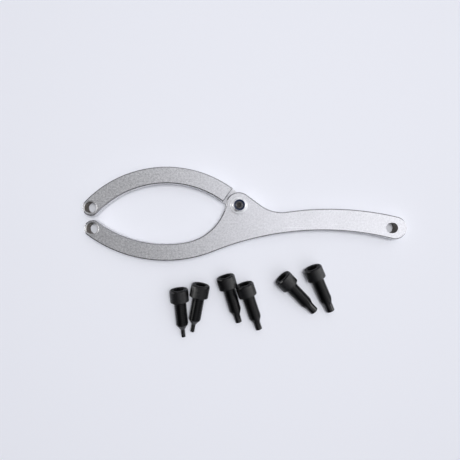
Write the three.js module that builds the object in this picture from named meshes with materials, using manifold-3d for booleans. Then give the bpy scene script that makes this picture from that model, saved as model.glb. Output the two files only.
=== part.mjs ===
// Adjustable face-pin spanner: two arc jaws hinged on a countersunk pivot screw,
// one of them carrying the handle, with three pairs of interchangeable screw-in pins.
//
// Drawn about the pivot axis at X = Y = 0, with the underside of both arms at Z = 0
// and the handle along +X. The finished group is then moved so that the middle of its
// footprint is the origin. Millimetres and degrees, +Z up.

import * as THREE from 'three';
import { mergeVertices } from 'three/addons/utils/BufferGeometryUtils.js';
import Module from 'manifold-3d';

// ---- Driving dimensions -------------------------------------------------------------

const CLEARANCE = 0.3;            // air between pieces that touch or turn on each other

const PLATE = 12.7;               // thickness of both arms
const ARM_WIDTH = 17;             // width of both curved jaws
const BOSS_RADIUS = 13.5;         // upper half lap, on the handle arm
const TONGUE_RADIUS = 13.3;       // lower half lap, on the swing arm
const POCKET_MARGIN = 0.7;        // room round the tongue in the handle arm's pocket

const SWING_RADIUS = 104.7;       // middle line of the swing arm
const SWING_CENTRE_ANGLE = 225.5; // from the pivot to the middle of that arc
const SWING_PIVOT_INSET = 0.8;    // the pivot lies this far inside the middle line
const SWING_TIP_ANGLE = 136.7;    // about the arc's centre
const SHOULDER_ANGLE = 54;        // where the full thickness of the swing arm ends

const JAW_RADIUS = 122.9;         // middle line of the fixed jaw
const JAW_CENTRE_ANGLE = 134.6;
const JAW_PIVOT_INSET = 17.3;
const JAW_TIP_ANGLE = 233.4;
const THROAT_RADIUS = 51.3;       // inside of the jaw where it turns up to the pivot
const THROAT_ANGLE = 280.3;       // where the throat leaves the jaw's inner edge

const HANDLE_REACH = 161.6;       // from the pivot to the centre of the rounded end
const HANDLE_DROP = 22.9;         // how far that centre lies below the pivot
const HANDLE_END_RADIUS = 11.8;
const HANDLE_TOP_RADIUS = 310.6;  // long upper edge of the handle
const HANDLE_TOP_ANGLE = 256.8;   // from the rounded end to the centre of that edge
const HANDLE_UNDER_ANGLE = 256.0; // and of the lower edge, whose radius follows
const NECK_RADIUS = 36;           // hollow between the boss and the handle
const NECK_STEP = 3.2;            // length of boss and hollow taken by their common line

const HANG_HOLE_WIDTH = 10.8;
const HANG_HOLE_LENGTH = 12.6;
const HANG_HOLE_INSET = 3.9;      // from the centre of the rounded end, towards the pivot

const TIP_HOLE_DIAMETER = 10.7;   // core of a 1/2-13 thread
const TIP_HOLE_RIM = 13.8;        // its countersunk rims

const SCREW_DIAMETER = 7.94;      // 5/16-18 pivot screw
const SCREW_HEAD_DIAMETER = 16.7;
const SCREW_HEAD_LAND = 0.4;
const SCREW_HEAD_ANGLE = 82;
const SCREW_RECESS = 0.3;         // its head sits this far inside the tongue
const SCREW_SOCKET_FLATS = 4.76;
const SCREW_SOCKET_DEPTH = 3.2;
const SCREW_END_BELOW_NUT = 1.3;

const WASHER_DIAMETER = 17.46;
const WASHER_THICKNESS = 1.6;
const NUT_FLATS = 12.7;
const NUT_HEX_HEIGHT = 6.4;
const NUT_COLLAR_HEIGHT = 2.0;
const NUT_COLLAR_WALL = 0.5;
const RING_WALL = 1.03;           // nylon locking ring round the screw
const RING_HEIGHT = 1.7;

const HEAD_DIAMETER = 19.05;      // pins turned from 1/2-13 socket-head cap screws
const HEAD_HEIGHT = 12.7;
const HEAD_CHAMFER = 0.9;
const HEAD_SOCKET_FLATS = 9.53;
const HEAD_SOCKET_DEPTH = 6.4;
const THREAD_DIAMETER = 12.7;
const THREAD_END = 36.8;          // distances from the outer face of the head
const TAPER_END = 42.8;
const PIN_LENGTH = 50.8;
const PIN_TIP_CHAMFER = 0.3;
const PIN_GAP = 0.4;              // air between the two pins of a pair

// The pairs as they lie: the first pin's head and heading, then how far the second one
// lies along the first, how far it is turned from it, and any extra room between them.
const PIN_PAIRS = [
  { size: 'small', tip: 4.2, x: -61.3, y: -85.3, heading: -84.9, along: -2.7, turn: -15.6, extra: 0 },
  { size: 'medium', tip: 6.8, x: -14.0, y: -72.2, heading: -73.5, along: 13.3, turn: 2.0, extra: 0 },
  { size: 'large', tip: 9.0, x: 44.3, y: -73.3, heading: -46.2, along: 14.6, turn: -19.4, extra: 4 },
];

const ARC_STEPS = 16;             // straight steps in each arc of an outline, halved
const ROUND_STEPS = 48;           // sides of a round hole or bar

// ---- Plane geometry -----------------------------------------------------------------

const radians = THREE.MathUtils.degToRad;

function towards(point, degrees, distance) {
  const turned = new THREE.Vector2(Math.cos(radians(degrees)), Math.sin(radians(degrees)));
  return turned.multiplyScalar(distance).add(point);
}

function bearing(from, to) {
  return THREE.MathUtils.radToDeg(Math.atan2(to.y - from.y, to.x - from.x));
}

// The crossing of two circles that lies to the left of the line between their centres.
function crossing(centreA, radiusA, centreB, radiusB) {
  const span = centreA.distanceTo(centreB);
  const reach = (span * span + radiusA * radiusA - radiusB * radiusB) / (2 * span);
  const opening = THREE.MathUtils.radToDeg(Math.acos(reach / radiusA));
  return towards(centreA, bearing(centreA, centreB) + opening, radiusA);
}

// Adds an arc of a circle to a path, joined by a straight line to what is there.
function addArc(path, centre, radius, start, end, clockwise = false) {
  path.absarc(centre.x, centre.y, radius, radians(start), radians(end), clockwise);
}

// ---- Solids -------------------------------------------------------------------------

const wasm = await Module();
wasm.setup();

function toSolid(geometry) {
  const bare = geometry.clone();
  bare.deleteAttribute('normal');
  bare.deleteAttribute('uv');
  const merged = mergeVertices(bare, 1e-4);
  const corners = merged.index.array;
  const triangles = [];
  for (let i = 0; i < corners.length; i += 3) {
    const [a, b, c] = corners.slice(i, i + 3);
    if (a !== b && b !== c && c !== a) triangles.push(a, b, c);
  }
  return new wasm.Manifold(new wasm.Mesh({
    numProp: 3,
    vertProperties: new Float32Array(merged.attributes.position.array),
    triVerts: new Uint32Array(triangles),
  }));
}

function toGeometry(solid) {
  const mesh = solid.getMesh();
  const geometry = new THREE.BufferGeometry();
  geometry.setAttribute('position', new THREE.BufferAttribute(mesh.vertProperties, 3));
  geometry.setIndex(new THREE.BufferAttribute(mesh.triVerts, 1));
  geometry.computeVertexNormals();
  return geometry;
}

function plate(outline, bottom, top) {
  const settings = { depth: top - bottom, bevelEnabled: false, curveSegments: ARC_STEPS };
  return toSolid(new THREE.ExtrudeGeometry(outline, settings).translate(0, 0, bottom));
}

// An upright bar or cone from bottom to top, round unless sides are given.
function bar(bottomRadius, topRadius, bottom, top, sides = ROUND_STEPS) {
  const shape = new THREE.CylinderGeometry(topRadius, bottomRadius, top - bottom, sides);
  shape.rotateX(Math.PI / 2).rotateZ(Math.PI / sides);
  return toSolid(shape.translate(0, 0, (bottom + top) / 2));
}

function hexBar(flats, bottom, top) {
  const cornerRadius = flats / Math.sqrt(3);
  return bar(cornerRadius, cornerRadius, bottom, top, 6);
}

// A body turned about Z from [radius, height] pairs listed from its lower end upwards.
function turned(profile) {
  const points = profile.map(([radius, height]) => new THREE.Vector2(radius, height));
  return toSolid(new THREE.LatheGeometry(points, ROUND_STEPS).rotateX(Math.PI / 2));
}

// A round hole through the plate, countersunk on both faces.
function rimmedHole(centre, diameter, rimDiameter) {
  const hole = diameter / 2;
  const rim = rimDiameter / 2;
  const depth = rim - hole;
  const below = bar(rim + 1, hole, -1, depth);
  const above = bar(hole, rim + 1, PLATE - depth, PLATE + 1);
  const through = bar(hole, hole, -1, PLATE + 1);
  return through.add(below).add(above).translate([centre.x, centre.y, 0]);
}

// ---- Layout -------------------------------------------------------------------------

const pivot = new THREE.Vector2(0, 0);
const halfWidth = ARM_WIDTH / 2;
const lapTop = (PLATE - CLEARANCE) / 2;
const screwHoleRadius = SCREW_DIAMETER / 2 + CLEARANCE;
const ringRadius = screwHoleRadius + RING_WALL;
const ringSeatRadius = ringRadius + CLEARANCE;
const swingCentre = towards(pivot, SWING_CENTRE_ANGLE, SWING_RADIUS - SWING_PIVOT_INSET);
const swingTip = towards(swingCentre, SWING_TIP_ANGLE, SWING_RADIUS);
const jawCentre = towards(pivot, JAW_CENTRE_ANGLE, JAW_RADIUS - JAW_PIVOT_INSET);
const jawTip = towards(jawCentre, JAW_TIP_ANGLE, JAW_RADIUS);
const washerBottom = PLATE + CLEARANCE;
const nutBottom = washerBottom + WASHER_THICKNESS + CLEARANCE;
const nutTop = nutBottom + NUT_HEX_HEIGHT + NUT_COLLAR_HEIGHT;
const screwTop = nutTop - SCREW_END_BELOW_NUT;
const screwHeadCone = (SCREW_HEAD_DIAMETER - SCREW_DIAMETER) / 2 / Math.tan(radians(SCREW_HEAD_ANGLE / 2));

// ---- Arms ---------------------------------------------------------------------------

// A stretch of the swing arm's curved band, from one angle to a larger one.
function swingBand(fromAngle, toAngle, roundTip) {
  const band = new THREE.Shape();
  addArc(band, swingCentre, SWING_RADIUS + halfWidth, fromAngle, toAngle);
  if (roundTip) addArc(band, swingTip, halfWidth, toAngle, toAngle + 180);
  addArc(band, swingCentre, SWING_RADIUS - halfWidth, toAngle, fromAngle, true);
  return band;
}

// The countersunk hole in the tongue that holds the pivot screw's head.
function screwSeat() {
  const rim = SCREW_HEAD_DIAMETER / 2 + CLEARANCE;
  const coneBottom = SCREW_RECESS + SCREW_HEAD_LAND;
  const land = bar(rim, rim, -1, coneBottom);
  const cone = bar(rim, screwHoleRadius, coneBottom, coneBottom + screwHeadCone);
  return bar(screwHoleRadius, screwHoleRadius, -1, PLATE + 1).add(land).add(cone);
}

function swingArm() {
  const arm = plate(swingBand(SHOULDER_ANGLE, SWING_TIP_ANGLE, true), 0, PLATE);
  const pivotAngle = bearing(swingCentre, pivot);
  const bridge = plate(swingBand(pivotAngle, SHOULDER_ANGLE + 1, false), 0, lapTop);
  const tongue = bar(TONGUE_RADIUS, TONGUE_RADIUS, 0, lapTop);
  const beyondTongue = bar(TONGUE_RADIUS, TONGUE_RADIUS, lapTop, PLATE + 1);
  return arm.add(bridge).add(tongue)
    .subtract(beyondTongue)
    .subtract(screwSeat())
    .subtract(rimmedHole(swingTip, TIP_HOLE_DIAMETER, TIP_HOLE_RIM));
}

// Radius of the handle's lower edge: it touches the rounded end and the jaw's outer edge.
function underRadius(endCentre, jawOuter) {
  const direction = towards(pivot, HANDLE_UNDER_ANGLE, 1);
  const span = endCentre.clone().sub(jawCentre);
  const lean = span.dot(direction);
  const end = HANDLE_END_RADIUS;
  return (jawOuter * jawOuter - end * end - span.lengthSq() - 2 * end * lean)
    / (2 * (lean + end - jawOuter));
}

function handleOutline(endCentre) {
  const jawOuter = JAW_RADIUS + halfWidth;
  const jawInner = JAW_RADIUS - halfWidth;
  const lowRadius = underRadius(endCentre, jawOuter);
  const lowCentre = towards(endCentre, HANDLE_UNDER_ANGLE, lowRadius + HANDLE_END_RADIUS);
  const highReach = HANDLE_TOP_RADIUS - HANDLE_END_RADIUS;
  const highCentre = towards(endCentre, HANDLE_TOP_ANGLE, highReach);
  const neckReach = BOSS_RADIUS + NECK_RADIUS + NECK_STEP;
  const neckCentre = crossing(pivot, neckReach, highCentre, HANDLE_TOP_RADIUS + NECK_RADIUS);
  const commonLine = THREE.MathUtils.radToDeg(Math.acos((BOSS_RADIUS + NECK_RADIUS) / neckReach));
  const bossEnd = bearing(pivot, neckCentre) + commonLine;
  const throatCentre = towards(jawCentre, THROAT_ANGLE, jawInner - THROAT_RADIUS);

  const outline = new THREE.Shape();
  const jawToHandle = bearing(jawCentre, lowCentre);
  addArc(outline, jawCentre, jawOuter, JAW_TIP_ANGLE, jawToHandle + 360);
  addArc(outline, lowCentre, lowRadius, jawToHandle + 180, HANDLE_UNDER_ANGLE - 180, true);
  addArc(outline, endCentre, HANDLE_END_RADIUS, HANDLE_UNDER_ANGLE - 360, HANDLE_TOP_ANGLE - 180);
  addArc(outline, highCentre, HANDLE_TOP_RADIUS, HANDLE_TOP_ANGLE - 180, bearing(highCentre, neckCentre));
  addArc(outline, neckCentre, NECK_RADIUS, bearing(highCentre, neckCentre) - 180, bossEnd - 180, true);
  addArc(outline, pivot, BOSS_RADIUS, bossEnd, bossEnd + 10);
  outline.lineTo(pivot.x, pivot.y);
  addArc(outline, throatCentre, THROAT_RADIUS, bearing(throatCentre, pivot), THROAT_ANGLE - 360, true);
  addArc(outline, jawCentre, jawInner, THROAT_ANGLE, JAW_TIP_ANGLE, true);
  addArc(outline, jawTip, halfWidth, JAW_TIP_ANGLE - 180, JAW_TIP_ANGLE);
  return outline;
}

// The oblong hole that the tool hangs by.
function hangHole(centre) {
  const radius = HANG_HOLE_WIDTH / 2;
  const half = (HANG_HOLE_LENGTH - HANG_HOLE_WIDTH) / 2;
  const slot = new THREE.Shape();
  addArc(slot, new THREE.Vector2(centre.x + half, centre.y), radius, -90, 90);
  addArc(slot, new THREE.Vector2(centre.x - half, centre.y), radius, 90, 270);
  return plate(slot, -1, PLATE + 1);
}

function handleArm() {
  const endCentre = new THREE.Vector2(HANDLE_REACH, -HANDLE_DROP);
  const holeCentre = new THREE.Vector2(HANDLE_REACH - HANG_HOLE_INSET, -HANDLE_DROP);
  const pocketRadius = TONGUE_RADIUS + POCKET_MARGIN;
  return plate(handleOutline(endCentre), 0, PLATE)
    .add(bar(BOSS_RADIUS, BOSS_RADIUS, 0, PLATE))
    .subtract(bar(pocketRadius, pocketRadius, -1, lapTop + CLEARANCE))
    .subtract(bar(screwHoleRadius, screwHoleRadius, -1, PLATE + 1))
    .subtract(hangHole(holeCentre))
    .subtract(rimmedHole(jawTip, TIP_HOLE_DIAMETER, TIP_HOLE_RIM));
}

// ---- Pivot hardware -----------------------------------------------------------------

function pivotScrew() {
  const radius = SCREW_DIAMETER / 2;
  const headRadius = SCREW_HEAD_DIAMETER / 2;
  const coneBottom = SCREW_RECESS + SCREW_HEAD_LAND;
  const body = turned([
    [0, SCREW_RECESS],
    [headRadius, SCREW_RECESS],
    [headRadius, coneBottom],
    [radius, coneBottom + screwHeadCone],
    [radius, screwTop - 1],
    [radius - 1, screwTop],
    [0, screwTop],
  ]);
  return body.subtract(hexBar(SCREW_SOCKET_FLATS, 0, SCREW_RECESS + SCREW_SOCKET_DEPTH));
}

function pivotWasher() {
  const radius = WASHER_DIAMETER / 2;
  const top = washerBottom + WASHER_THICKNESS;
  return bar(radius, radius, washerBottom, top)
    .subtract(bar(screwHoleRadius, screwHoleRadius, washerBottom - 1, top + 1));
}

function pivotNut() {
  const collarRadius = ringSeatRadius + NUT_COLLAR_WALL;
  const hexTop = nutBottom + NUT_HEX_HEIGHT;
  const cornerRadius = NUT_FLATS / Math.sqrt(3);
  const chamfer = cornerRadius - NUT_FLATS / 2;
  const ends = turned([
    [0, nutBottom],
    [NUT_FLATS / 2, nutBottom],
    [cornerRadius + chamfer, nutBottom + chamfer],
    [cornerRadius + chamfer, hexTop - chamfer],
    [NUT_FLATS / 2, hexTop],
    [0, hexTop],
  ]);
  return hexBar(NUT_FLATS, nutBottom, hexTop)
    .intersect(ends)
    .add(bar(collarRadius, collarRadius, hexTop - 1, nutTop))
    .subtract(bar(ringSeatRadius, ringSeatRadius, nutTop - RING_HEIGHT - CLEARANCE, nutTop + 1))
    .subtract(bar(screwHoleRadius, screwHoleRadius, nutBottom - 1, nutTop + 1));
}

function nylonRing() {
  return bar(ringRadius, ringRadius, nutTop - RING_HEIGHT, nutTop)
    .subtract(bar(screwHoleRadius, screwHoleRadius, nutTop - RING_HEIGHT - 1, nutTop + 1));
}

// ---- Pins ---------------------------------------------------------------------------

// A pin upright, with the outer face of its head at Z = 0 and its tip above.
function facePin(tipDiameter) {
  const headRadius = HEAD_DIAMETER / 2;
  const threadRadius = THREAD_DIAMETER / 2;
  const tipRadius = tipDiameter / 2;
  const body = turned([
    [0, 0],
    [headRadius - HEAD_CHAMFER, 0],
    [headRadius, HEAD_CHAMFER],
    [headRadius, HEAD_HEIGHT],
    [threadRadius, HEAD_HEIGHT],
    [threadRadius, THREAD_END],
    [tipRadius, TAPER_END],
    [tipRadius, PIN_LENGTH - PIN_TIP_CHAMFER],
    [tipRadius - PIN_TIP_CHAMFER, PIN_LENGTH],
    [0, PIN_LENGTH],
  ]);
  return body.subtract(hexBar(HEAD_SOCKET_FLATS, -1, HEAD_SOCKET_DEPTH));
}

// Lays a pin down on the rim of its head and the end of its thread.
function layDown(mesh, x, y, heading) {
  const headRadius = HEAD_DIAMETER / 2;
  const tilt = Math.atan2(headRadius - THREAD_DIAMETER / 2, THREAD_END - HEAD_HEIGHT);
  const height = headRadius * Math.cos(tilt) + HEAD_HEIGHT * Math.sin(tilt);
  mesh.geometry.rotateY(Math.PI / 2);
  mesh.rotation.set(0, tilt, radians(heading), 'ZYX');
  mesh.position.set(x, y, height);
}

function pinRadiusAt(distance) {
  if (distance < -PIN_GAP || distance > PIN_LENGTH) return 0;
  return distance <= HEAD_HEIGHT + PIN_GAP ? HEAD_DIAMETER / 2 : THREAD_DIAMETER / 2;
}

// How far aside the second pin's head must be for the pair to clear each other.
function sidewaysStep({ along, turn, extra }) {
  let step = 0;
  for (let reach = 0; reach <= THREAD_END; reach += 0.5) {
    const radii = pinRadiusAt(reach) + pinRadiusAt(reach * Math.cos(radians(turn)) + along);
    step = Math.max(step, radii + PIN_GAP - reach * Math.sin(radians(turn)));
  }
  return step + extra;
}

// ---- Materials and assembly ---------------------------------------------------------

function steel(color, roughness, metalness) {
  return new THREE.MeshStandardMaterial({ color, roughness, metalness });
}

const finishes = {
  plate: () => steel(0xb9bbc0, 0.45, 0.85),
  blackOxide: () => steel(0x1c1d21, 0.4, 0.6),
  zinc: () => steel(0xd6dadf, 0.28, 1),
  nylon: () => steel(0x14284e, 0.5, 0),
};

const assembly = new THREE.Group();

function addPart(name, solid, finish) {
  const mesh = new THREE.Mesh(toGeometry(solid), finishes[finish]());
  mesh.name = name;
  assembly.add(mesh);
  return mesh;
}

addPart('handle_arm', handleArm(), 'plate');
addPart('swing_arm', swingArm(), 'plate');
addPart('pivot_screw', pivotScrew(), 'blackOxide');
addPart('pivot_washer', pivotWasher(), 'zinc');
addPart('pivot_nut', pivotNut(), 'zinc');
addPart('nut_locking_ring', nylonRing(), 'nylon');

for (const pair of PIN_PAIRS) {
  const secondHeading = pair.heading + pair.turn;
  const beside = towards(new THREE.Vector2(pair.x, pair.y), pair.heading, pair.along);
  const second = towards(beside, pair.heading + 90, sidewaysStep(pair));
  layDown(addPart(`${pair.size}_pin_a`, facePin(pair.tip), 'blackOxide'), pair.x, pair.y, pair.heading);
  layDown(addPart(`${pair.size}_pin_b`, facePin(pair.tip), 'blackOxide'), second.x, second.y, secondHeading);
}

assembly.updateMatrixWorld(true);
const bounds = new THREE.Box3().setFromObject(assembly, true);
assembly.position.set(
  -(bounds.min.x + bounds.max.x) / 2,
  -(bounds.min.y + bounds.max.y) / 2,
  -bounds.min.z,
);

const spanner = new THREE.Group();
spanner.add(assembly);

export default spanner;
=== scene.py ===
# %% [markdown]
# # An adjustable face-pin spanner
# Two flat arc jaws meet on a pivot screw, and one of them runs on into a long handle.
# A threaded hole in each tip takes a screw-in pin, and six such pins lie beside the tool.
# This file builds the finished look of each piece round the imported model, one step at a time.

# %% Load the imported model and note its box
import math
import bmesh
import bpy
from mathutils import Matrix, Vector


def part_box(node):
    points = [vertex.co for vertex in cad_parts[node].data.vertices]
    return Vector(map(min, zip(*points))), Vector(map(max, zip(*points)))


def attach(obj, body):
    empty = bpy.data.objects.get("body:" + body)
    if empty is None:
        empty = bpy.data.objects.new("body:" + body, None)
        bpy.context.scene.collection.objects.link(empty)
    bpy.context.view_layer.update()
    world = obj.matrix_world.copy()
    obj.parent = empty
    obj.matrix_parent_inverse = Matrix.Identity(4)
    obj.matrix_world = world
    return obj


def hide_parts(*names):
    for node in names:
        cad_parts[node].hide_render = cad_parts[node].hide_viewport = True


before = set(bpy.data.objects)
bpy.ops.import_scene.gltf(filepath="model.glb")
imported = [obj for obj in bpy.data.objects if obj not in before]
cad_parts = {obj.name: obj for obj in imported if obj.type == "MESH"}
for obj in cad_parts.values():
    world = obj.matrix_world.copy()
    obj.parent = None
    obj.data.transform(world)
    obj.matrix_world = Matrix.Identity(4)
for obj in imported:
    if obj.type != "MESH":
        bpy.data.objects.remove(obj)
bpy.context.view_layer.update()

# %% [markdown]
# ## The camera
# The tool is seen from almost straight above, from a point a little to the left of its middle.
# A camera matrix could be typed in, but a look direction says more: the camera's own X, Y and
# Z follow from it and from the model's +Y, which the camera holds upward.

# %% Camera above the table
CAMERA_PLACE = Vector((-0.030145, 0.027421, 0.4183))
LOOK = Vector((0.03248, -0.00999, -0.99942)).normalized()
FOCAL_LENGTH = 31.3

side = LOOK.cross(Vector((0, 1, 0))).normalized()
up = side.cross(LOOK)
camera_data = bpy.data.cameras.new("camera")
camera_data.lens = FOCAL_LENGTH
camera_data.clip_start = 0.01
camera = bpy.data.objects.new("camera", camera_data)
turn = Matrix((side, up, -LOOK)).transposed()
camera.matrix_world = Matrix.Translation(CAMERA_PLACE) @ turn.to_4x4()
bpy.context.scene.collection.objects.link(camera)
bpy.context.scene.camera = camera
print("camera height in mm:", round(1000 * CAMERA_PLACE.z))

# %% [markdown]
# ## Working in millimetres about the pivot
# Shop sizes are millimetres, so each piece is drawn in them, with the pivot axis at X = Y = 0
# and the underside of the arms at Z = 0. One matrix then takes a finished mesh to the packed
# model's frame, which is in metres. The washer is round and sits on the pivot, so the middle
# of its box is the pivot.

# %% Where the pivot is
washer_low, washer_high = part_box("pivot_washer")
pivot_place = (washer_low + washer_high) / 2
pivot_place.z = 0
TO_MODEL = Matrix.Translation(pivot_place) @ Matrix.Scale(0.001, 4)
print("pivot in the model's frame, mm:", [round(1000 * v, 2) for v in pivot_place])


# %% Meshes to objects, and cutting one solid with another
def as_object(bm, name):
    """A new object that holds the bmesh."""
    mesh = bpy.data.meshes.new(name)
    bm.to_mesh(mesh)
    bm.free()
    made = bpy.data.objects.new(name, mesh)
    bpy.context.scene.collection.objects.link(made)
    return made


def settle(piece):
    """Turns a piece's modifiers into plain mesh."""
    depsgraph = bpy.context.evaluated_depsgraph_get()
    mesh = bpy.data.meshes.new_from_object(piece.evaluated_get(depsgraph))
    piece.modifiers.clear()
    piece.data = mesh


def combine(piece, tool, operation):
    """Cuts, joins or intersects piece with tool, which is used up."""
    step = piece.modifiers.new(operation.lower(), "BOOLEAN")
    step.operation = operation
    step.solver = "EXACT"
    step.object = tool
    settle(piece)
    bpy.data.objects.remove(tool)
    return piece


# %% [markdown]
# ## Round shapes
# A turned part is a half outline spun round its axis, as on a lathe. The outline is a short
# list of radius and height pairs, and the spin operator makes the surface. Sharp turned edges
# don't exist on real parts, so the rings between faces are then bevelled by a small amount.

# %% Lathe, bar and ring bevels
ROUND_STEPS = 64


def chain(bm, places, closed=False):
    """A wire through some places, in order."""
    verts = [bm.verts.new(place) for place in places]
    for first, second in zip(verts, verts[1:] + verts[:1] if closed else verts[1:]):
        bm.edges.new((first, second))
    return verts


def round_rings(bm, amount, sharper_than=25):
    """Bevels the edges that run round the axis between faces at an angle."""
    rings = []
    for edge in bm.edges:
        level = abs(edge.verts[0].co.z - edge.verts[1].co.z) < 1e-5
        if level and len(edge.link_faces) == 2:
            if edge.calc_face_angle(0) > math.radians(sharper_than):
                rings.append(edge)
    bmesh.ops.bevel(bm, geom=rings, offset=amount, offset_type="OFFSET", segments=3,
                    profile=0.5, affect="EDGES", material=-1, clamp_overlap=True)


def lathe(profile, name, rounding=0.0, steps=ROUND_STEPS, closed=False):
    """A solid of revolution about Z, from radius and height pairs in millimetres."""
    bm = bmesh.new()
    chain(bm, [(radius, 0, height) for radius, height in profile], closed)
    bmesh.ops.spin(bm, geom=bm.verts[:] + bm.edges[:], cent=(0, 0, 0), axis=(0, 0, 1),
                   dvec=(0, 0, 0), angle=math.tau, steps=steps, use_merge=True)
    bmesh.ops.remove_doubles(bm, verts=bm.verts, dist=1e-4)
    bmesh.ops.recalc_face_normals(bm, faces=bm.faces)
    if rounding:
        round_rings(bm, rounding)
    return as_object(bm, name)


def bar(low_radius, high_radius, bottom, top, sides=ROUND_STEPS, at=(0, 0)):
    """An upright round bar or cone; with six sides, a hexagon with corners along X."""
    bm = bmesh.new()
    place = Matrix.Translation((at[0], at[1], (bottom + top) / 2))
    spun = Matrix.Rotation(math.pi / 6, 4, "Z") if sides == 6 else Matrix.Identity(4)
    bmesh.ops.create_cone(bm, cap_ends=True, cap_tris=False, segments=sides, depth=top - bottom,
                          radius1=low_radius, radius2=high_radius, matrix=place @ spun)
    return as_object(bm, "bar")


# %% [markdown]
# ## Screw threads
# A thread is a zigzag that climbs one pitch while it goes once round. The spin operator does
# just that when each step also moves up a little. After one turn the zigzag lands on its own
# next tooth, so a weld closes the surface. The two ragged ends are then cut off square and
# capped, which leaves a closed rod that can be a thread or cut one.

# %% Threaded rod
THREAD_STEPS = 40
THREAD_DEPTH = 0.61
CREST_WIDTH = 0.12
ROOT_START = 0.42
ROOT_END = 0.7


def threaded_rod(major, pitch, bottom, top, name):
    """A closed rod with a thread; depth and widths of a tooth are shares of the pitch."""
    crest = major / 2
    root = crest - THREAD_DEPTH * pitch
    bm = bmesh.new()
    teeth = math.ceil((top - bottom) / pitch) + 3
    column = []
    for tooth in range(teeth):
        start = bottom + (tooth - 2) * pitch
        column += [(crest, 0, start), (crest, 0, start + CREST_WIDTH * pitch)]
        column += [(root, 0, start + ROOT_START * pitch), (root, 0, start + ROOT_END * pitch)]
    chain(bm, column)
    bmesh.ops.spin(bm, geom=bm.verts[:] + bm.edges[:], cent=(0, 0, 0), axis=(0, 0, 1),
                   dvec=(0, 0, pitch / THREAD_STEPS), angle=math.tau, steps=THREAD_STEPS,
                   use_merge=False)
    bmesh.ops.remove_doubles(bm, verts=bm.verts, dist=1e-3)
    for height, direction in ((bottom, -1), (top, 1)):
        everything = bm.verts[:] + bm.edges[:] + bm.faces[:]
        bmesh.ops.bisect_plane(bm, geom=everything, dist=1e-5, plane_co=(0, 0, height),
                               plane_no=(0, 0, direction), clear_outer=True)
        rim = [edge for edge in bm.edges if edge.is_boundary
               and all(abs(vert.co.z - height) < 1e-3 for vert in edge.verts)]
        bmesh.ops.edgeloop_fill(bm, edges=rim)
    bmesh.ops.recalc_face_normals(bm, faces=bm.faces)
    open_edges = sum(edge.is_boundary for edge in bm.edges)
    print(name, "teeth:", teeth - 3, "open edges:", open_edges)
    return as_object(bm, name)


# %% [markdown]
# ## Outlines of the flat arms
# Both arms are cut from 12.7 mm plate, and every edge of the outline is part of a circle. So
# an outline is a list of arcs, each made by spinning one vertex about the arc's centre. The
# wire is filled with one face and extruded, and its two rims are rounded by a bevel, as the
# tumbling drum rounds them before plating.

# %% Plane geometry for arcs
def towards(point, degrees, distance):
    """The place at a distance from a point, in a direction given in degrees from +X."""
    angle = math.radians(degrees)
    return Vector((math.cos(angle), math.sin(angle))) * distance + point


def bearing(start, end):
    """The direction from one point to another, in degrees from +X."""
    return math.degrees(math.atan2(end.y - start.y, end.x - start.x))


def crossing(centre_a, radius_a, centre_b, radius_b, hand=1):
    """Where two circles cross, on the left of the line between centres, or right with hand -1."""
    span = (centre_b - centre_a).length
    reach = (span * span + radius_a * radius_a - radius_b * radius_b) / (2 * span)
    opening = math.degrees(math.acos(reach / radius_a))
    return towards(centre_a, bearing(centre_a, centre_b) + hand * opening, radius_a)


# %% Plate from a list of arcs
PLATE = 12.7
RIM_ROUNDING = 1.2
ARC_STEP = 1.6


def plate(arcs, name, bottom=0.0, top=PLATE, rounding=RIM_ROUNDING):
    """arcs are (centre, radius, start angle, end angle), each starting where the last ends."""
    bm = bmesh.new()
    ends = []
    for centre, radius, start, end in arcs:
        length = abs(math.radians(end - start)) * radius
        steps = max(10, round(length / ARC_STEP))
        place = towards(centre, start, radius)
        first = bm.verts.new((place.x, place.y, bottom))
        made = bmesh.ops.spin(bm, geom=[first], cent=(centre.x, centre.y, bottom),
                              axis=(0, 0, 1), dvec=(0, 0, 0), steps=steps,
                              angle=math.radians(end - start), use_merge=False)
        last = [item for item in made["geom_last"] if isinstance(item, bmesh.types.BMVert)][0]
        ends.append((first, last))
    for (_, last), (first, _) in zip(ends, ends[1:] + ends[:1]):
        if (last.co - first.co).length > 0.01:
            bm.edges.new((last, first))
    bmesh.ops.remove_doubles(bm, verts=bm.verts, dist=0.01)
    bmesh.ops.edgeloop_fill(bm, edges=bm.edges)
    raised = bmesh.ops.extrude_face_region(bm, geom=bm.faces[:])
    moved = [item for item in raised["geom"] if isinstance(item, bmesh.types.BMVert)]
    bmesh.ops.translate(bm, verts=moved, vec=(0, 0, top - bottom))
    bmesh.ops.recalc_face_normals(bm, faces=bm.faces)
    if rounding:
        round_rings(bm, rounding, 60)
    print(name, "faces:", len(bm.faces))
    return as_object(bm, name)


# %% [markdown]
# ## Threaded tip holes
# The hole in each tip is tapped right through for a half-inch pin, and its mouths are
# countersunk so the thread doesn't stand proud of the plate. The tool that cuts it is the
# threaded rod itself with a cone at each end, so the thread in the hole is a true one.

# %% Tap and countersink
PIN_THREAD = 12.7
PIN_PITCH = 25.4 / 13
HOLE_RIM = 13.8
COUNTERSINK = 1.0


def tap_through(arm, centre):
    """Cuts a threaded hole with two countersunk mouths."""
    tap = threaded_rod(PIN_THREAD, PIN_PITCH, -1, PLATE + 1, "tap")
    tap.data.transform(Matrix.Translation((centre.x, centre.y, 0)))
    combine(arm, tap, "DIFFERENCE")
    rim = HOLE_RIM / 2
    core = rim - COUNTERSINK
    combine(arm, bar(rim + 1, core, -1, COUNTERSINK, at=centre), "DIFFERENCE")
    combine(arm, bar(core, rim + 1, PLATE - COUNTERSINK, PLATE + 1, at=centre), "DIFFERENCE")


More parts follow.
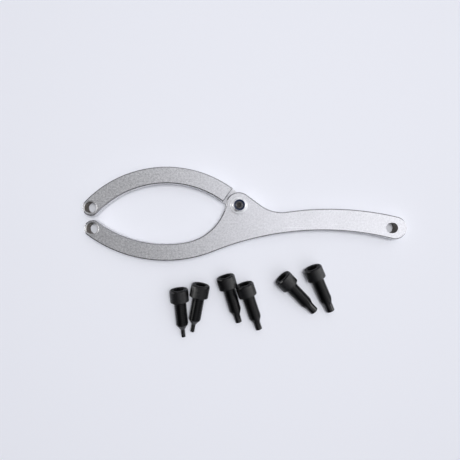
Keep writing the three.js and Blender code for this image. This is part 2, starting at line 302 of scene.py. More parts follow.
# %% [markdown]
# ## The swing arm
# This jaw is an even band round one centre, with a round tip. Near the pivot its upper half
# is milled away, which leaves a tongue that slides into the other arm's pocket. The arm is
# drawn whole and then milled, in the order a shop would follow. Milling leaves a square
# shoulder, whose sharp top edge is broken with a small chamfer.

# %% Swing arm
PIVOT = Vector((0, 0))
ARM_WIDTH = 17
TONGUE_RADIUS = 13.3
LAP_TOP = 6.2
CLEARANCE = 0.3
SWING_RADIUS = 104.7
SWING_CENTRE_ANGLE = 225.5
SWING_PIVOT_INSET = 0.8
SHOULDER_ANGLE = 54
SWING_TIP_ANGLE = 136.7
SCREW_DIAMETER = 7.94
SCREW_HEAD = 16.7
SCREW_HEAD_RIM = 0.7
HEAD_HALF_ANGLE = 41

half_width = ARM_WIDTH / 2
swing_centre = towards(PIVOT, SWING_CENTRE_ANGLE, SWING_RADIUS - SWING_PIVOT_INSET)
swing_tip = towards(swing_centre, SWING_TIP_ANGLE, SWING_RADIUS)
swing_outer = SWING_RADIUS + half_width
swing_inner = SWING_RADIUS - half_width
outer_meet = crossing(swing_centre, swing_outer, PIVOT, TONGUE_RADIUS)
inner_meet = crossing(swing_centre, swing_inner, PIVOT, TONGUE_RADIUS)

swing_arm = plate([
    (swing_centre, swing_outer, bearing(swing_centre, outer_meet), SWING_TIP_ANGLE),
    (swing_tip, half_width, SWING_TIP_ANGLE, SWING_TIP_ANGLE + 180),
    (swing_centre, swing_inner, SWING_TIP_ANGLE, bearing(swing_centre, inner_meet)),
    (PIVOT, TONGUE_RADIUS, bearing(PIVOT, inner_meet) % 360, bearing(PIVOT, outer_meet) + 360),
], "swing_arm_steel")

# %% Mill the lap, break the shoulder's edge, then cut the screw's seat and the tip hole
LAP_CUT = 60
SHOULDER_CHAMFER = 1.0

milling_cutter = bmesh.new()
beyond_shoulder = Matrix.Rotation(math.radians(SHOULDER_ANGLE), 4, "Z")
bmesh.ops.create_cube(milling_cutter, size=1, matrix=(
    Matrix.Translation((swing_centre.x, swing_centre.y, LAP_TOP))
    @ beyond_shoulder
    @ Matrix.Translation((SWING_RADIUS, -LAP_CUT / 2, LAP_CUT / 2))
    @ Matrix.Diagonal((LAP_CUT, LAP_CUT, LAP_CUT, 1))))
combine(swing_arm, as_object(milling_cutter, "milling_cutter"), "DIFFERENCE")

chamfer_cutter = bmesh.new()
bmesh.ops.create_cube(chamfer_cutter, size=1, matrix=(
    Matrix.Translation((swing_centre.x, swing_centre.y, PLATE))
    @ beyond_shoulder
    @ Matrix.Translation((SWING_RADIUS, 0, 0))
    @ Matrix.Rotation(math.pi / 4, 4, "X")
    @ Matrix.Diagonal((LAP_CUT, SHOULDER_CHAMFER, SHOULDER_CHAMFER, 1))))
combine(swing_arm, as_object(chamfer_cutter, "chamfer_cutter"), "DIFFERENCE")

screw_hole = SCREW_DIAMETER / 2 + CLEARANCE
head_seat = SCREW_HEAD / 2 + CLEARANCE
head_cone = (SCREW_HEAD - SCREW_DIAMETER) / 2 / math.tan(math.radians(HEAD_HALF_ANGLE))
cone_top = SCREW_HEAD_RIM + head_cone
seat = lathe([(0, -1), (head_seat, -1), (head_seat, SCREW_HEAD_RIM), (screw_hole, cone_top),
              (screw_hole, PLATE), (0, PLATE)], "seat")
combine(swing_arm, seat, "DIFFERENCE")
tap_through(swing_arm, swing_tip)
print("swing arm tip:", [round(v, 1) for v in swing_tip])

# %% [markdown]
# ## The handle arm
# The fixed jaw turns up in a tighter throat to the round boss over the pivot. A hollow neck
# joins the boss to the long, gently bowed handle, which ends in a half circle with an oblong
# hole to hang it by. Its lower edge is one sweep that touches both the jaw and the round end.

# %% Handle arm outline
BOSS_RADIUS = 13.5
JAW_RADIUS = 122.9
JAW_CENTRE_ANGLE = 134.6
JAW_PIVOT_INSET = 17.3
JAW_TIP_ANGLE = 233.4
THROAT_RADIUS = 51.3
THROAT_ANGLE = 280.3
HANDLE_END = Vector((161.6, -22.9))
HANDLE_END_RADIUS = 11.8
HANDLE_TOP_RADIUS = 310.6
HANDLE_TOP_ANGLE = 256.8
HANDLE_UNDER_ANGLE = 256.0
NECK_RADIUS = 36
NECK_STEP = 3.2

jaw_centre = towards(PIVOT, JAW_CENTRE_ANGLE, JAW_RADIUS - JAW_PIVOT_INSET)
jaw_tip = towards(jaw_centre, JAW_TIP_ANGLE, JAW_RADIUS)
jaw_outer = JAW_RADIUS + half_width
jaw_inner = JAW_RADIUS - half_width


def under_radius():
    """Radius of the lower edge, which touches the rounded end and the jaw's outer edge."""
    direction = towards(PIVOT, HANDLE_UNDER_ANGLE, 1)
    span = HANDLE_END - jaw_centre
    lean = span.dot(direction)
    end = HANDLE_END_RADIUS
    rest = jaw_outer ** 2 - end ** 2 - span.length_squared - 2 * end * lean
    return rest / (2 * (lean + end - jaw_outer))


low_radius = under_radius()
low_centre = towards(HANDLE_END, HANDLE_UNDER_ANGLE, low_radius + HANDLE_END_RADIUS)
high_centre = towards(HANDLE_END, HANDLE_TOP_ANGLE, HANDLE_TOP_RADIUS - HANDLE_END_RADIUS)
neck_reach = BOSS_RADIUS + NECK_RADIUS + NECK_STEP
neck_centre = crossing(PIVOT, neck_reach, high_centre, HANDLE_TOP_RADIUS + NECK_RADIUS)
common_line = math.degrees(math.acos((BOSS_RADIUS + NECK_RADIUS) / neck_reach))
boss_start = bearing(PIVOT, neck_centre) + common_line
throat_centre = towards(jaw_centre, THROAT_ANGLE, jaw_inner - THROAT_RADIUS)
throat_meet = crossing(throat_centre, THROAT_RADIUS, PIVOT, BOSS_RADIUS)
jaw_to_handle = bearing(jaw_centre, low_centre)
neck_to_handle = bearing(high_centre, neck_centre)
throat_start = bearing(throat_centre, throat_meet)

print("lower edge radius:", round(low_radius, 1), "boss from", round(boss_start, 1), "to",
      round(bearing(PIVOT, throat_meet), 1), "throat from", round(throat_start, 1))
handle_arm = plate([
    (jaw_centre, jaw_outer, JAW_TIP_ANGLE, jaw_to_handle + 360),
    (low_centre, low_radius, jaw_to_handle + 180, HANDLE_UNDER_ANGLE - 180),
    (HANDLE_END, HANDLE_END_RADIUS, HANDLE_UNDER_ANGLE - 360, HANDLE_TOP_ANGLE - 180),
    (high_centre, HANDLE_TOP_RADIUS, HANDLE_TOP_ANGLE - 180, neck_to_handle),
    (neck_centre, NECK_RADIUS, neck_to_handle - 180, boss_start - 180),
    (PIVOT, BOSS_RADIUS, boss_start, bearing(PIVOT, throat_meet) % 360),
    (throat_centre, THROAT_RADIUS, throat_start, THROAT_ANGLE - 360),
    (jaw_centre, jaw_inner, THROAT_ANGLE, JAW_TIP_ANGLE),
    (jaw_tip, half_width, JAW_TIP_ANGLE - 180, JAW_TIP_ANGLE),
], "handle_arm_steel")

# %% Pocket, pivot hole, hanging hole and tip hole
POCKET_MARGIN = 0.7
HANG_WIDTH = 10.8
HANG_LENGTH = 12.6
HANG_INSET = 3.9

pocket = TONGUE_RADIUS + POCKET_MARGIN
combine(handle_arm, bar(pocket, pocket, -1, LAP_TOP + CLEARANCE), "DIFFERENCE")
combine(handle_arm, bar(screw_hole, screw_hole, -1, PLATE + 1), "DIFFERENCE")
hang_middle = HANDLE_END - Vector((HANG_INSET, 0))
hang_half = Vector(((HANG_LENGTH - HANG_WIDTH) / 2, 0))
hang_cutter = plate([
    (hang_middle + hang_half, HANG_WIDTH / 2, -90, 90),
    (hang_middle - hang_half, HANG_WIDTH / 2, 90, 270),
], "hang_cutter", bottom=-1, top=PLATE + 1, rounding=0)
combine(handle_arm, hang_cutter, "DIFFERENCE")
tap_through(handle_arm, jaw_tip)
print("handle arm faces:", len(handle_arm.data.polygons))

# %% [markdown]
# ## The pivot screw, washer, nut and locking ring
# A countersunk socket screw comes up through both arms from below. A washer and a locking nut
# hold it, and the nut's collar is crimped over a dark nylon ring that grips the thread. All
# but the hexagons are turned parts, so the lathe makes them, and a six-sided bar makes the
# hexagons.

# %% Pivot screw
SCREW_TOP = 22.7
SCREW_PITCH = 25.4 / 18
SCREW_RECESS = 0.3
SCREW_SOCKET_CORNER = 2.75
SCREW_SOCKET_DEPTH = 3.5

shaft = SCREW_DIAMETER / 2
plain_top = PLATE + CLEARANCE
pivot_screw = lathe([(0, SCREW_RECESS), (SCREW_HEAD / 2, SCREW_RECESS),
                     (SCREW_HEAD / 2, SCREW_HEAD_RIM), (shaft, cone_top), (shaft, plain_top),
                     (3.0, plain_top + 1.2), (0, plain_top + 1.2)], "pivot_screw_black",
                    rounding=0.12)
screw_thread = threaded_rod(SCREW_DIAMETER, SCREW_PITCH, plain_top - 0.2, SCREW_TOP,
                            "screw_thread")
below_thread = plain_top - 1
thread_end = lathe([(0, below_thread), (5, below_thread), (5, SCREW_TOP - 1.2),
                    (2.75, SCREW_TOP), (2.4, SCREW_TOP), (2.0, SCREW_TOP - 0.5),
                    (0, SCREW_TOP - 0.7)], "end")
combine(screw_thread, thread_end, "INTERSECT")
combine(pivot_screw, screw_thread, "UNION")
socket = bar(SCREW_SOCKET_CORNER, SCREW_SOCKET_CORNER, -1, SCREW_SOCKET_DEPTH, sides=6)
combine(pivot_screw, socket, "DIFFERENCE")
print("screw top:", SCREW_TOP, "faces:", len(pivot_screw.data.polygons))

# %% Washer, nut and nylon ring
WASHER_RADIUS = 8.73
WASHER_THICKNESS = 1.6
NUT_WIDTH = 12.7
HEX_TOP = 21.3
NUT_TOP = 23.3
COLLAR_RADIUS = 6.1
RING_OUTER = 5.5
RING_INNER = 4.1

washer_top = plain_top + WASHER_THICKNESS
washer = lathe([(screw_hole, plain_top), (WASHER_RADIUS, plain_top),
                (WASHER_RADIUS, washer_top), (screw_hole, washer_top)],
               "pivot_washer_zinc", rounding=0.3, closed=True)

nut_bottom = washer_top + CLEARANCE
nut_corner = NUT_WIDTH / math.sqrt(3)
pivot_nut = bar(nut_corner, nut_corner, nut_bottom, HEX_TOP, sides=6)
chamfer = lathe([(0, nut_bottom), (NUT_WIDTH / 2, nut_bottom),
                 (nut_corner + 0.6, nut_bottom + 0.9), (nut_corner + 0.6, HEX_TOP - 0.9),
                 (NUT_WIDTH / 2, HEX_TOP), (0, HEX_TOP)], "chamfer")
combine(pivot_nut, chamfer, "INTERSECT")
collar = lathe([(0, HEX_TOP - 1), (COLLAR_RADIUS, HEX_TOP - 1), (COLLAR_RADIUS, NUT_TOP - 0.7),
                (COLLAR_RADIUS - 0.15, NUT_TOP - 0.25), (COLLAR_RADIUS - 0.4, NUT_TOP),
                (COLLAR_RADIUS - 0.8, NUT_TOP), (0, NUT_TOP)], "collar")
combine(pivot_nut, collar, "UNION")
collar_bore = RING_OUTER + 0.15
lip_bore = RING_OUTER + 0.05
bore = lathe([(0, nut_bottom - 1), (screw_hole, nut_bottom - 1), (screw_hole, HEX_TOP),
              (collar_bore, HEX_TOP), (collar_bore, NUT_TOP - 0.3), (lip_bore, NUT_TOP - 0.1),
              (lip_bore, NUT_TOP + 1), (0, NUT_TOP + 1)], "bore")
combine(pivot_nut, bore, "DIFFERENCE")
pivot_nut.name = "pivot_nut_zinc"

nylon_ring = lathe([(RING_INNER, HEX_TOP + CLEARANCE), (RING_OUTER, HEX_TOP + CLEARANCE),
                    (RING_OUTER, NUT_TOP - 0.35), (RING_OUTER - 0.2, NUT_TOP - 0.15),
                    (RING_INNER, NUT_TOP - 0.7)],
                   "nut_locking_ring_nylon", rounding=0.12, closed=True)
print("nut and ring faces:", len(pivot_nut.data.polygons), len(nylon_ring.data.polygons))

# %% [markdown]
# ## The screw-in pins
# Each pin is a socket-head screw with its end turned down: a round head with a hexagon
# socket, a half-inch thread, a short taper and a smooth tip. The thread is made as one long
# rod and then intersected with the turned outline, so the taper cuts through the last threads
# just as a lathe tool does. The head's side has a fine straight knurl, which is pressed in
# by an inset of every face of the wall. One mesh is made for each tip size.

# %% Sizes of a pin
HEAD_RADIUS = 19.05 / 2
HEAD_HEIGHT = 12.7
THREAD_END = 36.8
TAPER_END = 42.8
PIN_LENGTH = 50.8
SOCKET_CORNER = 9.53 / math.sqrt(3)
SOCKET_DEPTH = 6.4
KNURL_LAND = 0.2
KNURL_DEPTH = 0.09
UNDERHEAD_FILLET = 1.3
SOCKET_MOUTH = 0.8
DRILL_RADIUS = 4.2


# %% One pin, upright, with the outer face of its head at Z = 0
def knurl(head):
    """Presses a straight knurl into the head's side, one groove to each of its faces."""
    bm = bmesh.new()
    bm.from_mesh(head.data)
    wall = [face for face in bm.faces if abs(face.normal.z) < 0.05 and face.calc_area() > 5]
    bmesh.ops.inset_individual(bm, faces=wall, thickness=KNURL_LAND, depth=-KNURL_DEPTH,
                               use_even_offset=True)
    bm.to_mesh(head.data)
    bm.free()
    print("knurl grooves:", len(wall))


def upright_pin(name, tip_diameter):
    """A pin with its head down, threaded, tapered, knurled and socketed."""
    tip = tip_diameter / 2
    crest = PIN_THREAD / 2
    fillet_top = HEAD_HEIGHT + UNDERHEAD_FILLET
    shank = threaded_rod(PIN_THREAD, PIN_PITCH, HEAD_HEIGHT - 1, PIN_LENGTH + 1, name + "_thread")
    outline = lathe([(0, HEAD_HEIGHT - 0.5), (crest, HEAD_HEIGHT - 0.5), (crest, THREAD_END),
                     (tip, TAPER_END), (tip, PIN_LENGTH - 0.3), (tip - 0.3, PIN_LENGTH),
                     (0, PIN_LENGTH)], name + "_outline")
    combine(shank, outline, "INTERSECT")
    head = lathe([(0, 0), (HEAD_RADIUS - 0.9, 0), (HEAD_RADIUS, 0.9), (HEAD_RADIUS, HEAD_HEIGHT),
                  (crest + 0.55, HEAD_HEIGHT), (crest - 0.75, fillet_top), (0, fillet_top)],
                 name, rounding=0.25)
    knurl(head)
    combine(head, shank, "UNION")
    socket = bar(SOCKET_CORNER, SOCKET_CORNER, -1, SOCKET_DEPTH, sides=6)
    combine(head, socket, "DIFFERENCE")
    mouth = bar(SOCKET_CORNER + 1.6, SOCKET_CORNER - 0.2, -1, SOCKET_MOUTH)
    combine(head, mouth, "DIFFERENCE")
    drill = bar(DRILL_RADIUS, 0.2, SOCKET_DEPTH - 0.2, SOCKET_DEPTH + 2.2, sides=32)
    combine(head, drill, "DIFFERENCE")
    mark_socket(head)
    return head


def mark_socket(head):
    """Gives the socket and the end face round it the second material."""
    for face in head.data.polygons:
        outward = face.normal.z < -0.9 or face.center.z < SOCKET_DEPTH
        near_axis = Vector(face.center[:2]).length < HEAD_RADIUS - 1
        face.material_index = 1 if outward and near_axis else 0


# %% [markdown]
# A loose pin rests on the rim of its head and on the end of its thread, so it tips a little
# toward its tip. Its tilt and height follow from those two radii. Each line of PINS gives the
# tip's diameter, where the middle of the head's outer face is in X and Y, and the direction
# in which the tip points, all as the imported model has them.

# %% Lay each pin where it rests
TILT = math.atan2(HEAD_RADIUS - PIN_THREAD / 2, THREAD_END - HEAD_HEIGHT)
REST_HEIGHT = HEAD_RADIUS * math.cos(TILT) + HEAD_HEIGHT * math.sin(TILT)
PINS = {
    "small_pin_a": (4.2, -61.3, -85.3, -84.9),
    "small_pin_b": (4.2, -38.685, -80.571, -100.5),
    "medium_pin_a": (6.8, -14.0, -72.2, -73.5),
    "medium_pin_b": (6.8, 5.382, -80.33, -71.5),
    "large_pin_a": (9.0, 44.3, -73.3, -46.2),
    "large_pin_b": (9.0, 75.498, -63.611, -65.6),
}


def twin(pin, name):
    """A second object with a mesh of its own."""
    copy = pin.copy()
    copy.data = pin.data.copy()
    copy.name = name
    bpy.context.scene.collection.objects.link(copy)
    return copy


upright = {}
laid = {}
for name, (tip_diameter, x, y, heading) in PINS.items():
    if tip_diameter not in upright:
        upright[tip_diameter] = upright_pin("upright_pin", tip_diameter)
    pin = twin(upright[tip_diameter], name + "_black")
    turned = Matrix.Rotation(math.radians(heading), 4, "Z") @ Matrix.Rotation(TILT, 4, "Y")
    lying = Matrix.Rotation(math.pi / 2, 4, "Y")
    pin.data.transform(Matrix.Translation((x, y, REST_HEIGHT)) @ turned @ lying)
    laid[name] = pin
    lowest = min(vert.co.z for vert in pin.data.vertices)
    print(name, "lowest point in mm:", round(lowest, 2))
for spare in upright.values():
    bpy.data.objects.remove(spare)

# %% [markdown]
# ## Shared surface effects
# Grain, smudges and fine scratches show on more than one finish. Each is a small node group,
# built once, that reads the place on the object and gives out a value. Every material places
# the group with its own size and strength, so the finishes belong together.

# %% Group maker
def effect_group(name, inputs, outputs):
    group = bpy.data.node_groups.new(name, "ShaderNodeTree")
    for socket, kind, value in inputs:
        made = group.interface.new_socket(name=socket, in_out="INPUT", socket_type=kind)
        if value is not None:
            made.default_value = value
    for socket in outputs:
        group.interface.new_socket(name=socket, in_out="OUTPUT", socket_type="NodeSocketFloat")
    return group, group.nodes.new("NodeGroupInput"), group.nodes.new("NodeGroupOutput")


def add(tree, kind, **settings):
    """A new node, with properties by name and input values by socket name in `values`."""
    values = settings.pop("values", {})
    node = tree.nodes.new(kind)
    for key, value in settings.items():
        setattr(node, key, value)
    for key, value in values.items():
        node.inputs[key].default_value = value
    return node


# %% Grain: a fine mottle and its height
grain, grain_in, grain_out = effect_group(
    "fine_grain",
    [("Place", "NodeSocketVector", None), ("Size", "NodeSocketFloat", 900.0)],
    ["Mottle", "Height"])
coarse = add(grain, "ShaderNodeTexNoise", values={"Detail": 4.0, "Roughness": 0.6})
finer = add(grain, "ShaderNodeTexNoise", values={"Detail": 3.0, "Roughness": 0.7})
bigger = add(grain, "ShaderNodeMath", operation="MULTIPLY")
bigger.inputs[1].default_value = 3.7
blend = add(grain, "ShaderNodeMix", data_type="FLOAT", values={"Factor": 0.45})
spread = add(grain, "ShaderNodeMapRange", values={"From Min": 0.3, "From Max": 0.7})
for target in (coarse, finer):
    grain.links.new(grain_in.outputs["Place"], target.inputs["Vector"])
grain.links.new(grain_in.outputs["Size"], coarse.inputs["Scale"])
grain.links.new(grain_in.outputs["Size"], bigger.inputs[0])
grain.links.new(bigger.outputs[0], finer.inputs["Scale"])
grain.links.new(coarse.outputs["Fac"], blend.inputs["A"])
grain.links.new(finer.outputs["Fac"], blend.inputs["B"])
grain.links.new(blend.outputs["Result"], spread.inputs["Value"])
grain.links.new(spread.outputs["Result"], grain_out.inputs["Mottle"])
grain.links.new(blend.outputs["Result"], grain_out.inputs["Height"])

# %% Smudges: broad, soft patches left by handling
smudge, smudge_in, smudge_out = effect_group(
    "handling_smudges",
    [("Place", "NodeSocketVector", None), ("Size", "NodeSocketFloat", 60.0)],
    ["Patch"])
patches = add(smudge, "ShaderNodeTexNoise", values={"Detail": 2.0, "Distortion": 0.6})
soften = add(smudge, "ShaderNodeMapRange", interpolation_type="SMOOTHSTEP",
             values={"From Min": 0.35, "From Max": 0.68})
smudge.links.new(smudge_in.outputs["Place"], patches.inputs["Vector"])
smudge.links.new(smudge_in.outputs["Size"], patches.inputs["Scale"])
smudge.links.new(patches.outputs["Fac"], soften.inputs["Value"])
smudge.links.new(soften.outputs["Result"], smudge_out.inputs["Patch"])

# %% Hairlines: thin scratches that run one way
hairline, hairline_in, hairline_out = effect_group(
    "hairline_scratches",
    [("Place", "NodeSocketVector", None), ("Direction", "NodeSocketVector", None),
     ("Size", "NodeSocketFloat", 500.0)],
    ["Line"])
run = add(hairline, "ShaderNodeMapping", values={"Scale": (0.04, 1.0, 1.0)})
strands = add(hairline, "ShaderNodeTexNoise", values={"Detail": 3.0, "Distortion": 0.3})
thin = add(hairline, "ShaderNodeMapRange", values={"From Min": 0.66, "From Max": 0.74})
hairline.links.new(hairline_in.outputs["Place"], run.inputs["Vector"])
hairline.links.new(hairline_in.outputs["Direction"], run.inputs["Rotation"])
hairline.links.new(hairline_in.outputs["Size"], strands.inputs["Scale"])
hairline.links.new(run.outputs["Vector"], strands.inputs["Vector"])
hairline.links.new(strands.outputs["Fac"], thin.inputs["Value"])
hairline.links.new(thin.outputs["Result"], hairline_out.inputs["Line"])
print("groups:", [group.name for group in bpy.data.node_groups])

# %% [markdown]
# ## The finishes
# Each finish is a Principled shader. Two near colours are mixed by the grain, the smudges
# shift the roughness, and a shallow bump breaks up the light. The jaws are blotchier than the
# handle, and their colours are darker on the whole as painted shade toward the tips, so the
# arms' finish blends two mottles along the tool. One function lays out this pattern, and each
# call gives the colours and sizes of one finish. What is the same all over, such as how
# metallic it is, sits on the shader's own socket.

# %% Colour layers
def mottled(tree, specks, dark, light):
    """Two near colours mixed by the grain."""
    mix = add(tree, "ShaderNodeMix", data_type="RGBA")
    mix.inputs["A"].default_value = (*dark, 1)
    mix.inputs["B"].default_value = (*light, 1)
    tree.links.new(specks.outputs["Mottle"], mix.inputs["Factor"])
    return mix.outputs["Result"]


BLEND_START = 0.03
BLEND_END = -0.12


def blended_toward_tips(tree, place, at_handle, at_tips):
    """One colour on the handle, another on the jaws, and a soft change between them."""
    along = add(tree, "ShaderNodeSeparateXYZ")
    tree.links.new(place.outputs["Object"], along.inputs[0])
    toward_tips = add(tree, "ShaderNodeMapRange", interpolation_type="SMOOTHSTEP",
                      values={"From Min": BLEND_START, "From Max": BLEND_END})
    tree.links.new(along.outputs["X"], toward_tips.inputs["Value"])
    mix = add(tree, "ShaderNodeMix", data_type="RGBA")
    tree.links.new(toward_tips.outputs["Result"], mix.inputs["Factor"])
    tree.links.new(at_handle, mix.inputs["A"])
    tree.links.new(at_tips, mix.inputs["B"])
    return mix.outputs["Result"]


def scratched(tree, place, under, line_colour):
    """Bright hairlines over a colour."""
    lines = add(tree, "ShaderNodeGroup", node_tree=hairline,
                values={"Direction": (0, 0, 1.1), "Size": 700.0})
    tree.links.new(place.outputs["Object"], lines.inputs["Place"])
    mix = add(tree, "ShaderNodeMix", data_type="RGBA")
    mix.inputs["B"].default_value = (*line_colour, 1)
    tree.links.new(lines.outputs["Line"], mix.inputs["Factor"])
    tree.links.new(under, mix.inputs["A"])
    return mix.outputs["Result"]


# %% Finish maker
def finish(name, dark, light, rough, grain_size, bump_depth, metallic,
           smudge_size=60.0, bump_strength=0.25, specular=0.5, line_colour=None,
           jaw_mottle_and_shade=None):
    """dark and light are colours; rough is the roughness (clean, smudged)."""
    material = bpy.data.materials.new(name)
    material.use_nodes = True
    tree = material.node_tree
    shader = tree.nodes["Principled BSDF"]
    shader.inputs["Metallic"].default_value = metallic
    shader.inputs["Specular IOR Level"].default_value = specular
    place = add(tree, "ShaderNodeTexCoord")
    specks = add(tree, "ShaderNodeGroup", node_tree=grain, values={"Size": grain_size})
    smears = add(tree, "ShaderNodeGroup", node_tree=smudge, values={"Size": smudge_size})
    for effect in (specks, smears):
        tree.links.new(place.outputs["Object"], effect.inputs["Place"])
    colour = mottled(tree, specks, dark, light)
    if jaw_mottle_and_shade:
        colour = blended_toward_tips(tree, place, colour, mottled(tree, specks, *jaw_mottle_and_shade))
    if line_colour:
        colour = scratched(tree, place, colour, line_colour)
    tree.links.new(colour, shader.inputs["Base Color"])
    gloss = add(tree, "ShaderNodeMapRange", values={"To Min": rough[0], "To Max": rough[1]})
    tree.links.new(smears.outputs["Patch"], gloss.inputs["Value"])
    tree.links.new(gloss.outputs["Result"], shader.inputs["Roughness"])
    bump = add(tree, "ShaderNodeBump", values={"Strength": bump_strength, "Distance": bump_depth})
    tree.links.new(specks.outputs["Height"], bump.inputs["Height"])
    tree.links.new(bump.outputs["Normal"], shader.inputs["Normal"])
    return material


# %% [markdown]
# The satin plates get a bright mottle with hairlines. Their rims are smoother, and their darker
# colour is painted shade that draws the dark line along the edges. The countersinks are matt
# and bright. The walls of the tapped holes and the hanging hole are darkest, from oil on the
# bare threads and from painted shade in the bores. A pin's socket and the end face round it look
# duller than its turned sides, so they get a black of their own with almost no shine.

# %% The finishes: steel, zinc, black oxide and nylon
# The jaws' colours are blotchier than the handle's, and darker on the whole as painted shade
# toward the tips.
plate_steel = finish("plate_steel_satin", (0.62, 0.62, 0.642), (0.91, 0.91, 0.94), (0.30, 0.36),
                     560.0, 0.00018, 1.0, bump_strength=0.8, line_colour=(0.93, 0.93, 0.96),
                     jaw_mottle_and_shade=((0.31, 0.31, 0.322), (0.99, 0.99, 1.0)))
# The rims' darker colour is painted shade that draws the dark line along the edges.
rim_steel_painted_shade = finish("plate_steel_rim_painted_shade", (0.34, 0.34, 0.35), (0.46, 0.46, 0.475), (0.12, 0.18),
                   900.0, 0.00003, 1.0)
# The hole walls' dark colour is oil on the bare threads, and painted shade in the bores.
hole_steel_oil_and_shade = finish("plate_steel_hole_oil_and_shade", (0.06, 0.053, 0.046), (0.16, 0.145, 0.13), (0.34, 0.5),
                      1200.0, 0.00004, 1.0)
countersunk_steel = finish("plate_steel_countersunk", (0.66, 0.66, 0.67), (0.80, 0.80, 0.81),
                           (0.50, 0.60), 1200.0, 0.00004, 1.0)
black_oxide = finish("black_oxide", (0.002, 0.002, 0.0023), (0.007, 0.007, 0.008), (0.15, 0.21),
                     1100.0, 0.00004, 0.0, specular=0.42)
socket_black = finish("socket_black", (0.001, 0.001, 0.0012), (0.004, 0.004, 0.0045),
                      (0.5, 0.6), 1100.0, 0.00004, 0.0, specular=0.12)
worn_thread = finish("thread_end_worn", (0.14, 0.14, 0.15), (0.26, 0.26, 0.27),
                     (0.34, 0.42), 1100.0, 0.00004, 1.0)
zinc_plate = finish("zinc_plate", (0.84, 0.85, 0.87), (0.94, 0.95, 0.96), (0.32, 0.40),
                    1500.0, 0.00002, 1.0)
nylon = finish("nylon_navy", (0.004, 0.012, 0.045), (0.007, 0.020, 0.066), (0.30, 0.38),
               1500.0, 0.00002, 0.0)
print("finishes:", len(bpy.data.materials))

# %% [markdown]
# ## Finish and place each piece
# A piece is moved to its place in its mesh, so that its object stays at the origin. Flat faces
# next to small bevels shade wrongly when every corner is averaged, so a Weighted Normal
# modifier lets the large faces win. The piece then rides on its body in place of its node.

# %% Placing
SMOOTH_BELOW = math.radians(32)


def place_piece(piece, body, node, materials, pick=None):
    """pick says which of the materials a face takes, from its middle and direction."""
    for material in materials:
        piece.data.materials.append(material)
    if pick:
        for face in piece.data.polygons:
            face.material_index = pick(face.center, face.normal)
    piece.data.transform(TO_MODEL)
    bm = bmesh.new()
    bm.from_mesh(piece.data)
    bmesh.ops.remove_doubles(bm, verts=bm.verts, dist=0.000001)
    loose = sum(len(edge.link_faces) != 2 for edge in bm.edges)
    bm.to_mesh(piece.data)
    bm.free()
    piece.data.shade_smooth()
    piece.data.set_sharp_from_angle(angle=SMOOTH_BELOW)
    weigh = piece.modifiers.new("weighted", "WEIGHTED_NORMAL")
    weigh.keep_sharp = True
    settle(piece)
    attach(piece, body)
    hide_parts(node)
    print(piece.name, "faces:", len(piece.data.polygons), "open or doubled edges:", loose)


FLAT_FACE = 0.995
BEVEL_FACE = 0.05
HOLE_MARGIN = 0.1


def arm_finish(tip):
    """Satin faces, rims darkened by painted shade, matt countersinks, and hole walls darkened by
    oil and painted shade.
    """
    def pick(middle, normal):
        place = Vector((middle.x, middle.y))
        from_tip = (place - tip).length
        if from_tip < HOLE_RIM / 2 + HOLE_MARGIN and abs(normal.z) < FLAT_FACE:
            return 2 if COUNTERSINK < middle.z < PLATE - COUNTERSINK else 3
        # The hanging hole is not tapped: the dark metal on its wall is painted shade.
        from_hang = (place - hang_middle).length
        if from_hang < HANG_LENGTH / 2 + HOLE_MARGIN and abs(normal.z) < 0.5:
            return 2
        return 1 if BEVEL_FACE < abs(normal.z) < FLAT_FACE else 0
    return pick


def screw_finish(middle, normal):
    """The chamfered end of the thread is rubbed bare by the nut."""
    return 1 if middle.z > SCREW_TOP - 2.2 and 0.2 < normal.z < 0.9 else 0


# %% All the pieces
arm_metals = [plate_steel, rim_steel_painted_shade, hole_steel_oil_and_shade, countersunk_steel]
place_piece(handle_arm, "handle", "handle_arm", arm_metals, arm_finish(jaw_tip))
place_piece(swing_arm, "swing", "swing_arm", arm_metals, arm_finish(swing_tip))
place_piece(pivot_screw, "handle", "pivot_screw", [black_oxide, worn_thread],
            screw_finish)
place_piece(washer, "handle", "pivot_washer", [zinc_plate])
place_piece(pivot_nut, "handle", "pivot_nut", [zinc_plate])
place_piece(nylon_ring, "handle", "nut_locking_ring", [nylon])
for name, pin in laid.items():
    place_piece(pin, name, name, [black_oxide, socket_black])

# %% [markdown]
# ## Table, light and surroundings
# The tool lies on a plain pale table under a broad soft light. Bare metal shows what is
# around it, so the surroundings matter as much as the lamps: they are bright overhead and
# to the north-east, and dim low down in the south-west, which, together with the rims'
# painted shade, draws the dark line on the lower edges. Two side panels only give highlights
# to metal and black heads: the table and other matt things don't see them. The ceiling lamp
# does the opposite, and lights everything without showing in the metal. The table lies a
# tenth of a millimetre low, so that it never shares a plane with the undersides of the arms.

# %% Table
TABLE_HALF_SIDE = 3
TABLE_DROP = 0.0001

table_mesh = bmesh.new()
bmesh.ops.create_grid(table_mesh, x_segments=1, y_segments=1, size=TABLE_HALF_SIDE)
bmesh.ops.translate(table_mesh, verts=table_mesh.verts, vec=(0, 0, -TABLE_DROP))
table = as_object(table_mesh, "table")
table_paint = bpy.data.materials.new("table_paint")
table_paint.use_nodes = True
paint = table_paint.node_tree.nodes["Principled BSDF"]
paint.inputs["Base Color"].default_value = (0.85, 0.862, 0.92, 1)
paint.inputs["Roughness"].default_value = 0.9
paint.inputs["Specular IOR Level"].default_value = 0.0
table.data.materials.append(table_paint)

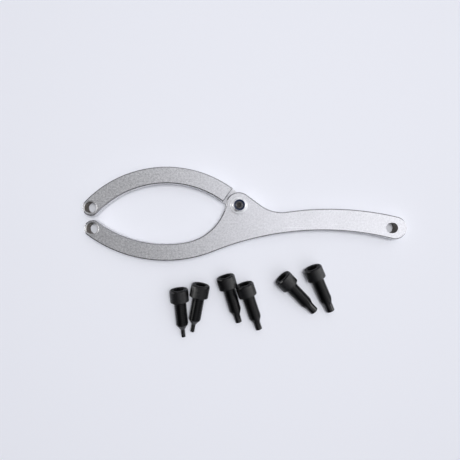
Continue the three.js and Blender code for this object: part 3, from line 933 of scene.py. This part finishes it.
# %% Lamps
def softbox(name, place, aim, width, height, power):
    """A rectangular lamp that faces a point; lengths are in metres, power in watts."""
    lamp_data = bpy.data.lights.new(name, "AREA")
    lamp_data.shape = "RECTANGLE"
    lamp_data.size = width
    lamp_data.size_y = height
    lamp_data.energy = power
    lamp = bpy.data.objects.new(name, lamp_data)
    direction = Vector(aim) - Vector(place)
    lamp.matrix_world = (Matrix.Translation(place)
                         @ direction.to_track_quat("-Z", "Y").to_matrix().to_4x4())
    bpy.context.scene.collection.objects.link(lamp)
    return lamp


west_panel = softbox("west_panel", (-1.2, 0.05, 0.45), (0, 0, 0.03), 0.9, 0.75, 9.5)
east_panel = softbox("east_panel", (1.2, 0.05, 0.45), (0, 0, 0.03), 0.9, 0.75, 6.5)
for panel in (west_panel, east_panel):
    panel.visible_diffuse = False
ceiling_lamp = softbox("ceiling_lamp", (0.12, 0.18, 1.58), (0, 0.03, 0), 0.5, 0.5, 12.0)
ceiling_lamp.visible_glossy = False

# %% Surroundings
sky = bpy.data.worlds.new("surroundings")
bpy.context.scene.world = sky
sky.use_nodes = True
sky_nodes = sky.node_tree
backdrop = sky_nodes.nodes["Background"]
backdrop.inputs["Color"].default_value = (0.955, 0.96, 1.0, 1)
way = add(sky_nodes, "ShaderNodeTexCoord")
split = add(sky_nodes, "ShaderNodeSeparateXYZ")
slope = add(sky_nodes, "ShaderNodeVectorMath", operation="DOT_PRODUCT")
slope.inputs[1].default_value = (1.9, 0.85, 0)
overhead = add(sky_nodes, "ShaderNodeMapRange", values={
    "From Min": -1.0, "From Max": 0.49, "To Min": 0.03, "To Max": 1.22})
toward_walls = add(sky_nodes, "ShaderNodeMapRange", interpolation_type="SMOOTHSTEP", values={
    "From Min": 0.4, "From Max": 0.9, "To Min": 0.28, "To Max": 1.0})
glow = add(sky_nodes, "ShaderNodeMath", operation="MULTIPLY")
sky_nodes.links.new(way.outputs["Generated"], split.inputs[0])
sky_nodes.links.new(way.outputs["Generated"], slope.inputs[0])
sky_nodes.links.new(slope.outputs["Value"], overhead.inputs["Value"])
sky_nodes.links.new(split.outputs["Z"], toward_walls.inputs["Value"])
sky_nodes.links.new(overhead.outputs["Result"], glow.inputs[0])
sky_nodes.links.new(toward_walls.outputs["Result"], glow.inputs[1])
sky_nodes.links.new(glow.outputs["Value"], backdrop.inputs["Strength"])

bpy.context.scene.view_settings.view_transform = "Standard"
